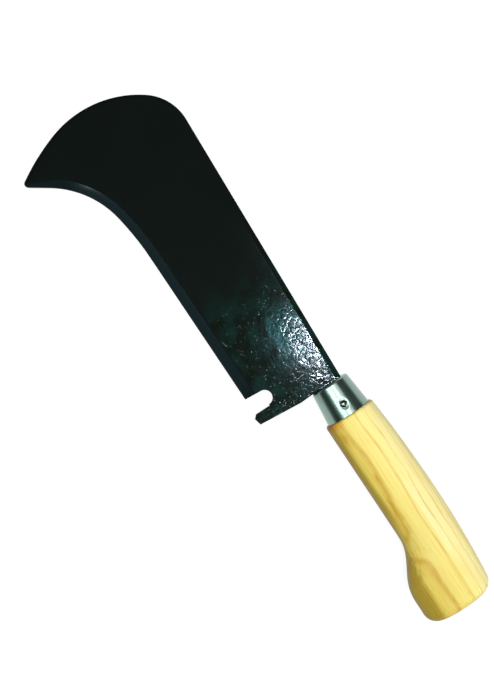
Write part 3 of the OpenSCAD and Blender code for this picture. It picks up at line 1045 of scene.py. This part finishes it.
def add_floor():
    """One wide square, which leans with the line from the handle's front end to the crown."""
    rear = packed_point(-FERRULE_LEN - HEAD_ROUND, 0, -REAR_R - CHEEK_STEP)
    front = packed_point(BLADE_LEN - EASE_W, 0, -CROWN_T / 2)
    along_floor = (front - rear).normalized()
    across = Vector((0, 1, 0))
    corners = [
        rear + along_floor * FLOOR_SIZE * a + across * FLOOR_SIZE * b
        for a, b in ((-1, -1), (1, -1), (1, 1), (-1, 1))
    ]
    mesh = bpy.data.meshes.new("floor")
    mesh.from_pydata(corners, [], [(0, 1, 2, 3)])
    mesh.materials.append(floor_material())
    floor = bpy.data.objects.new("floor", mesh)
    bpy.context.scene.collection.objects.link(floor)


# Light: places and sizes in metres, from the middle of the view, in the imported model's frame
IMAGE_UP = np.array([math.cos(math.radians(TOOL_LEAN)), -math.sin(math.radians(TOOL_LEAN))])
IMAGE_RIGHT = np.array([-math.sin(math.radians(TOOL_LEAN)), -math.cos(math.radians(TOOL_LEAN))])
view_shift = (IMAGE_SIZE / 2 - TOOL_PIXEL) / PIXELS_PER_MM
VIEW_MIDDLE = packed_point(*(view_shift[0] * IMAGE_RIGHT - view_shift[1] * IMAGE_UP), 0)
PANEL_Z = 0.85
GLINT_Z = 0.66
HORIZON = (0.02, (0.8, 0.82, 0.81, 1))
CEILING = (0.1, (0.038, 0.048, 0.046, 1))
WHITE = (1, 1, 1)
PALE_BLUE = (0.6, 0.9, 1)
PALE_PINK = (1, 0.87, 0.92)
TEAL = (0.15, 0.85, 0.9)


def soft_box(name, place, size, radiance, tint=WHITE):
    """A rectangular lamp of even brightness that faces the middle of the view."""
    lamp = bpy.data.lights.new(name, "AREA")
    lamp.shape = "RECTANGLE"
    lamp.size, lamp.size_y = size
    lamp.energy = math.pi * radiance * size[0] * size[1]
    lamp.color = tint
    box = bpy.data.objects.new(name, lamp)
    back = Vector(place).normalized()
    side = Vector((1, 0, 0))
    side = (side - side.project(back)).normalized()
    turn = Matrix((side, back.cross(side), back)).transposed()
    box.matrix_world = Matrix.Translation(VIEW_MIDDLE + Vector(place)) @ turn.to_4x4()
    box.visible_camera = False
    bpy.context.scene.collection.objects.link(box)


def add_world():
    """Dim light from above and pale light from low round the horizon."""
    world = bpy.data.worlds.new("studio")
    bpy.context.scene.world = world
    world.use_nodes = True
    nodes, links = world.node_tree.nodes, world.node_tree.links
    coords = nodes.new("ShaderNodeTexCoord")
    split = nodes.new("ShaderNodeSeparateXYZ")
    ramp = nodes.new("ShaderNodeValToRGB")
    for element, (position, colour) in zip(ramp.color_ramp.elements, (HORIZON, CEILING)):
        element.position = position
        element.color = colour
    links.new(coords.outputs["Generated"], split.inputs[0])
    links.new(split.outputs["Z"], ramp.inputs[0])
    links.new(ramp.outputs["Color"], nodes["Background"].inputs["Color"])


def add_camera():
    """A camera straight above, with the photograph's scale and turn."""
    lens = bpy.data.cameras.new("camera")
    lens.sensor_width = SENSOR
    lens.lens = SENSOR * VIEW_DISTANCE * PIXELS_PER_MM / IMAGE_SIZE[1]
    camera = bpy.data.objects.new("camera", lens)
    camera.location = VIEW_MIDDLE + Vector((0, 0, VIEW_DISTANCE * MM))
    camera.rotation_euler = (0, 0, -math.radians(90 + TOOL_LEAN))
    bpy.context.scene.collection.objects.link(camera)
    bpy.context.scene.camera = camera


add_floor()
add_world()
soft_box("key", place=(-1.2, -0.8, 0.45), size=(0.8, 0.8), radiance=4.8)
soft_box("spine_panel", place=(0.05, -0.3, PANEL_Z), size=(0.18, 0.38), radiance=5.2)
soft_box("edge_panel", place=(0.13, 0.3, PANEL_Z), size=(0.18, 0.41), radiance=14.0)
soft_box("handle_panel", place=(-0.24, 0.0, PANEL_Z), size=(0.19, 0.19), radiance=11.5)
soft_box("edge_card", place=(0.16, 0.68, PANEL_Z), size=(0.45, 0.3), radiance=0.45, tint=PALE_BLUE)
soft_box("glint", place=(-0.038, -0.082, GLINT_Z), size=(0.045, 0.012), radiance=640.0, tint=PALE_PINK)
soft_box("glint_card", place=(-0.015, -0.06, GLINT_Z), size=(0.06, 0.03), radiance=14.0, tint=TEAL)
add_camera()
bpy.context.scene.view_settings.view_transform = "Standard"
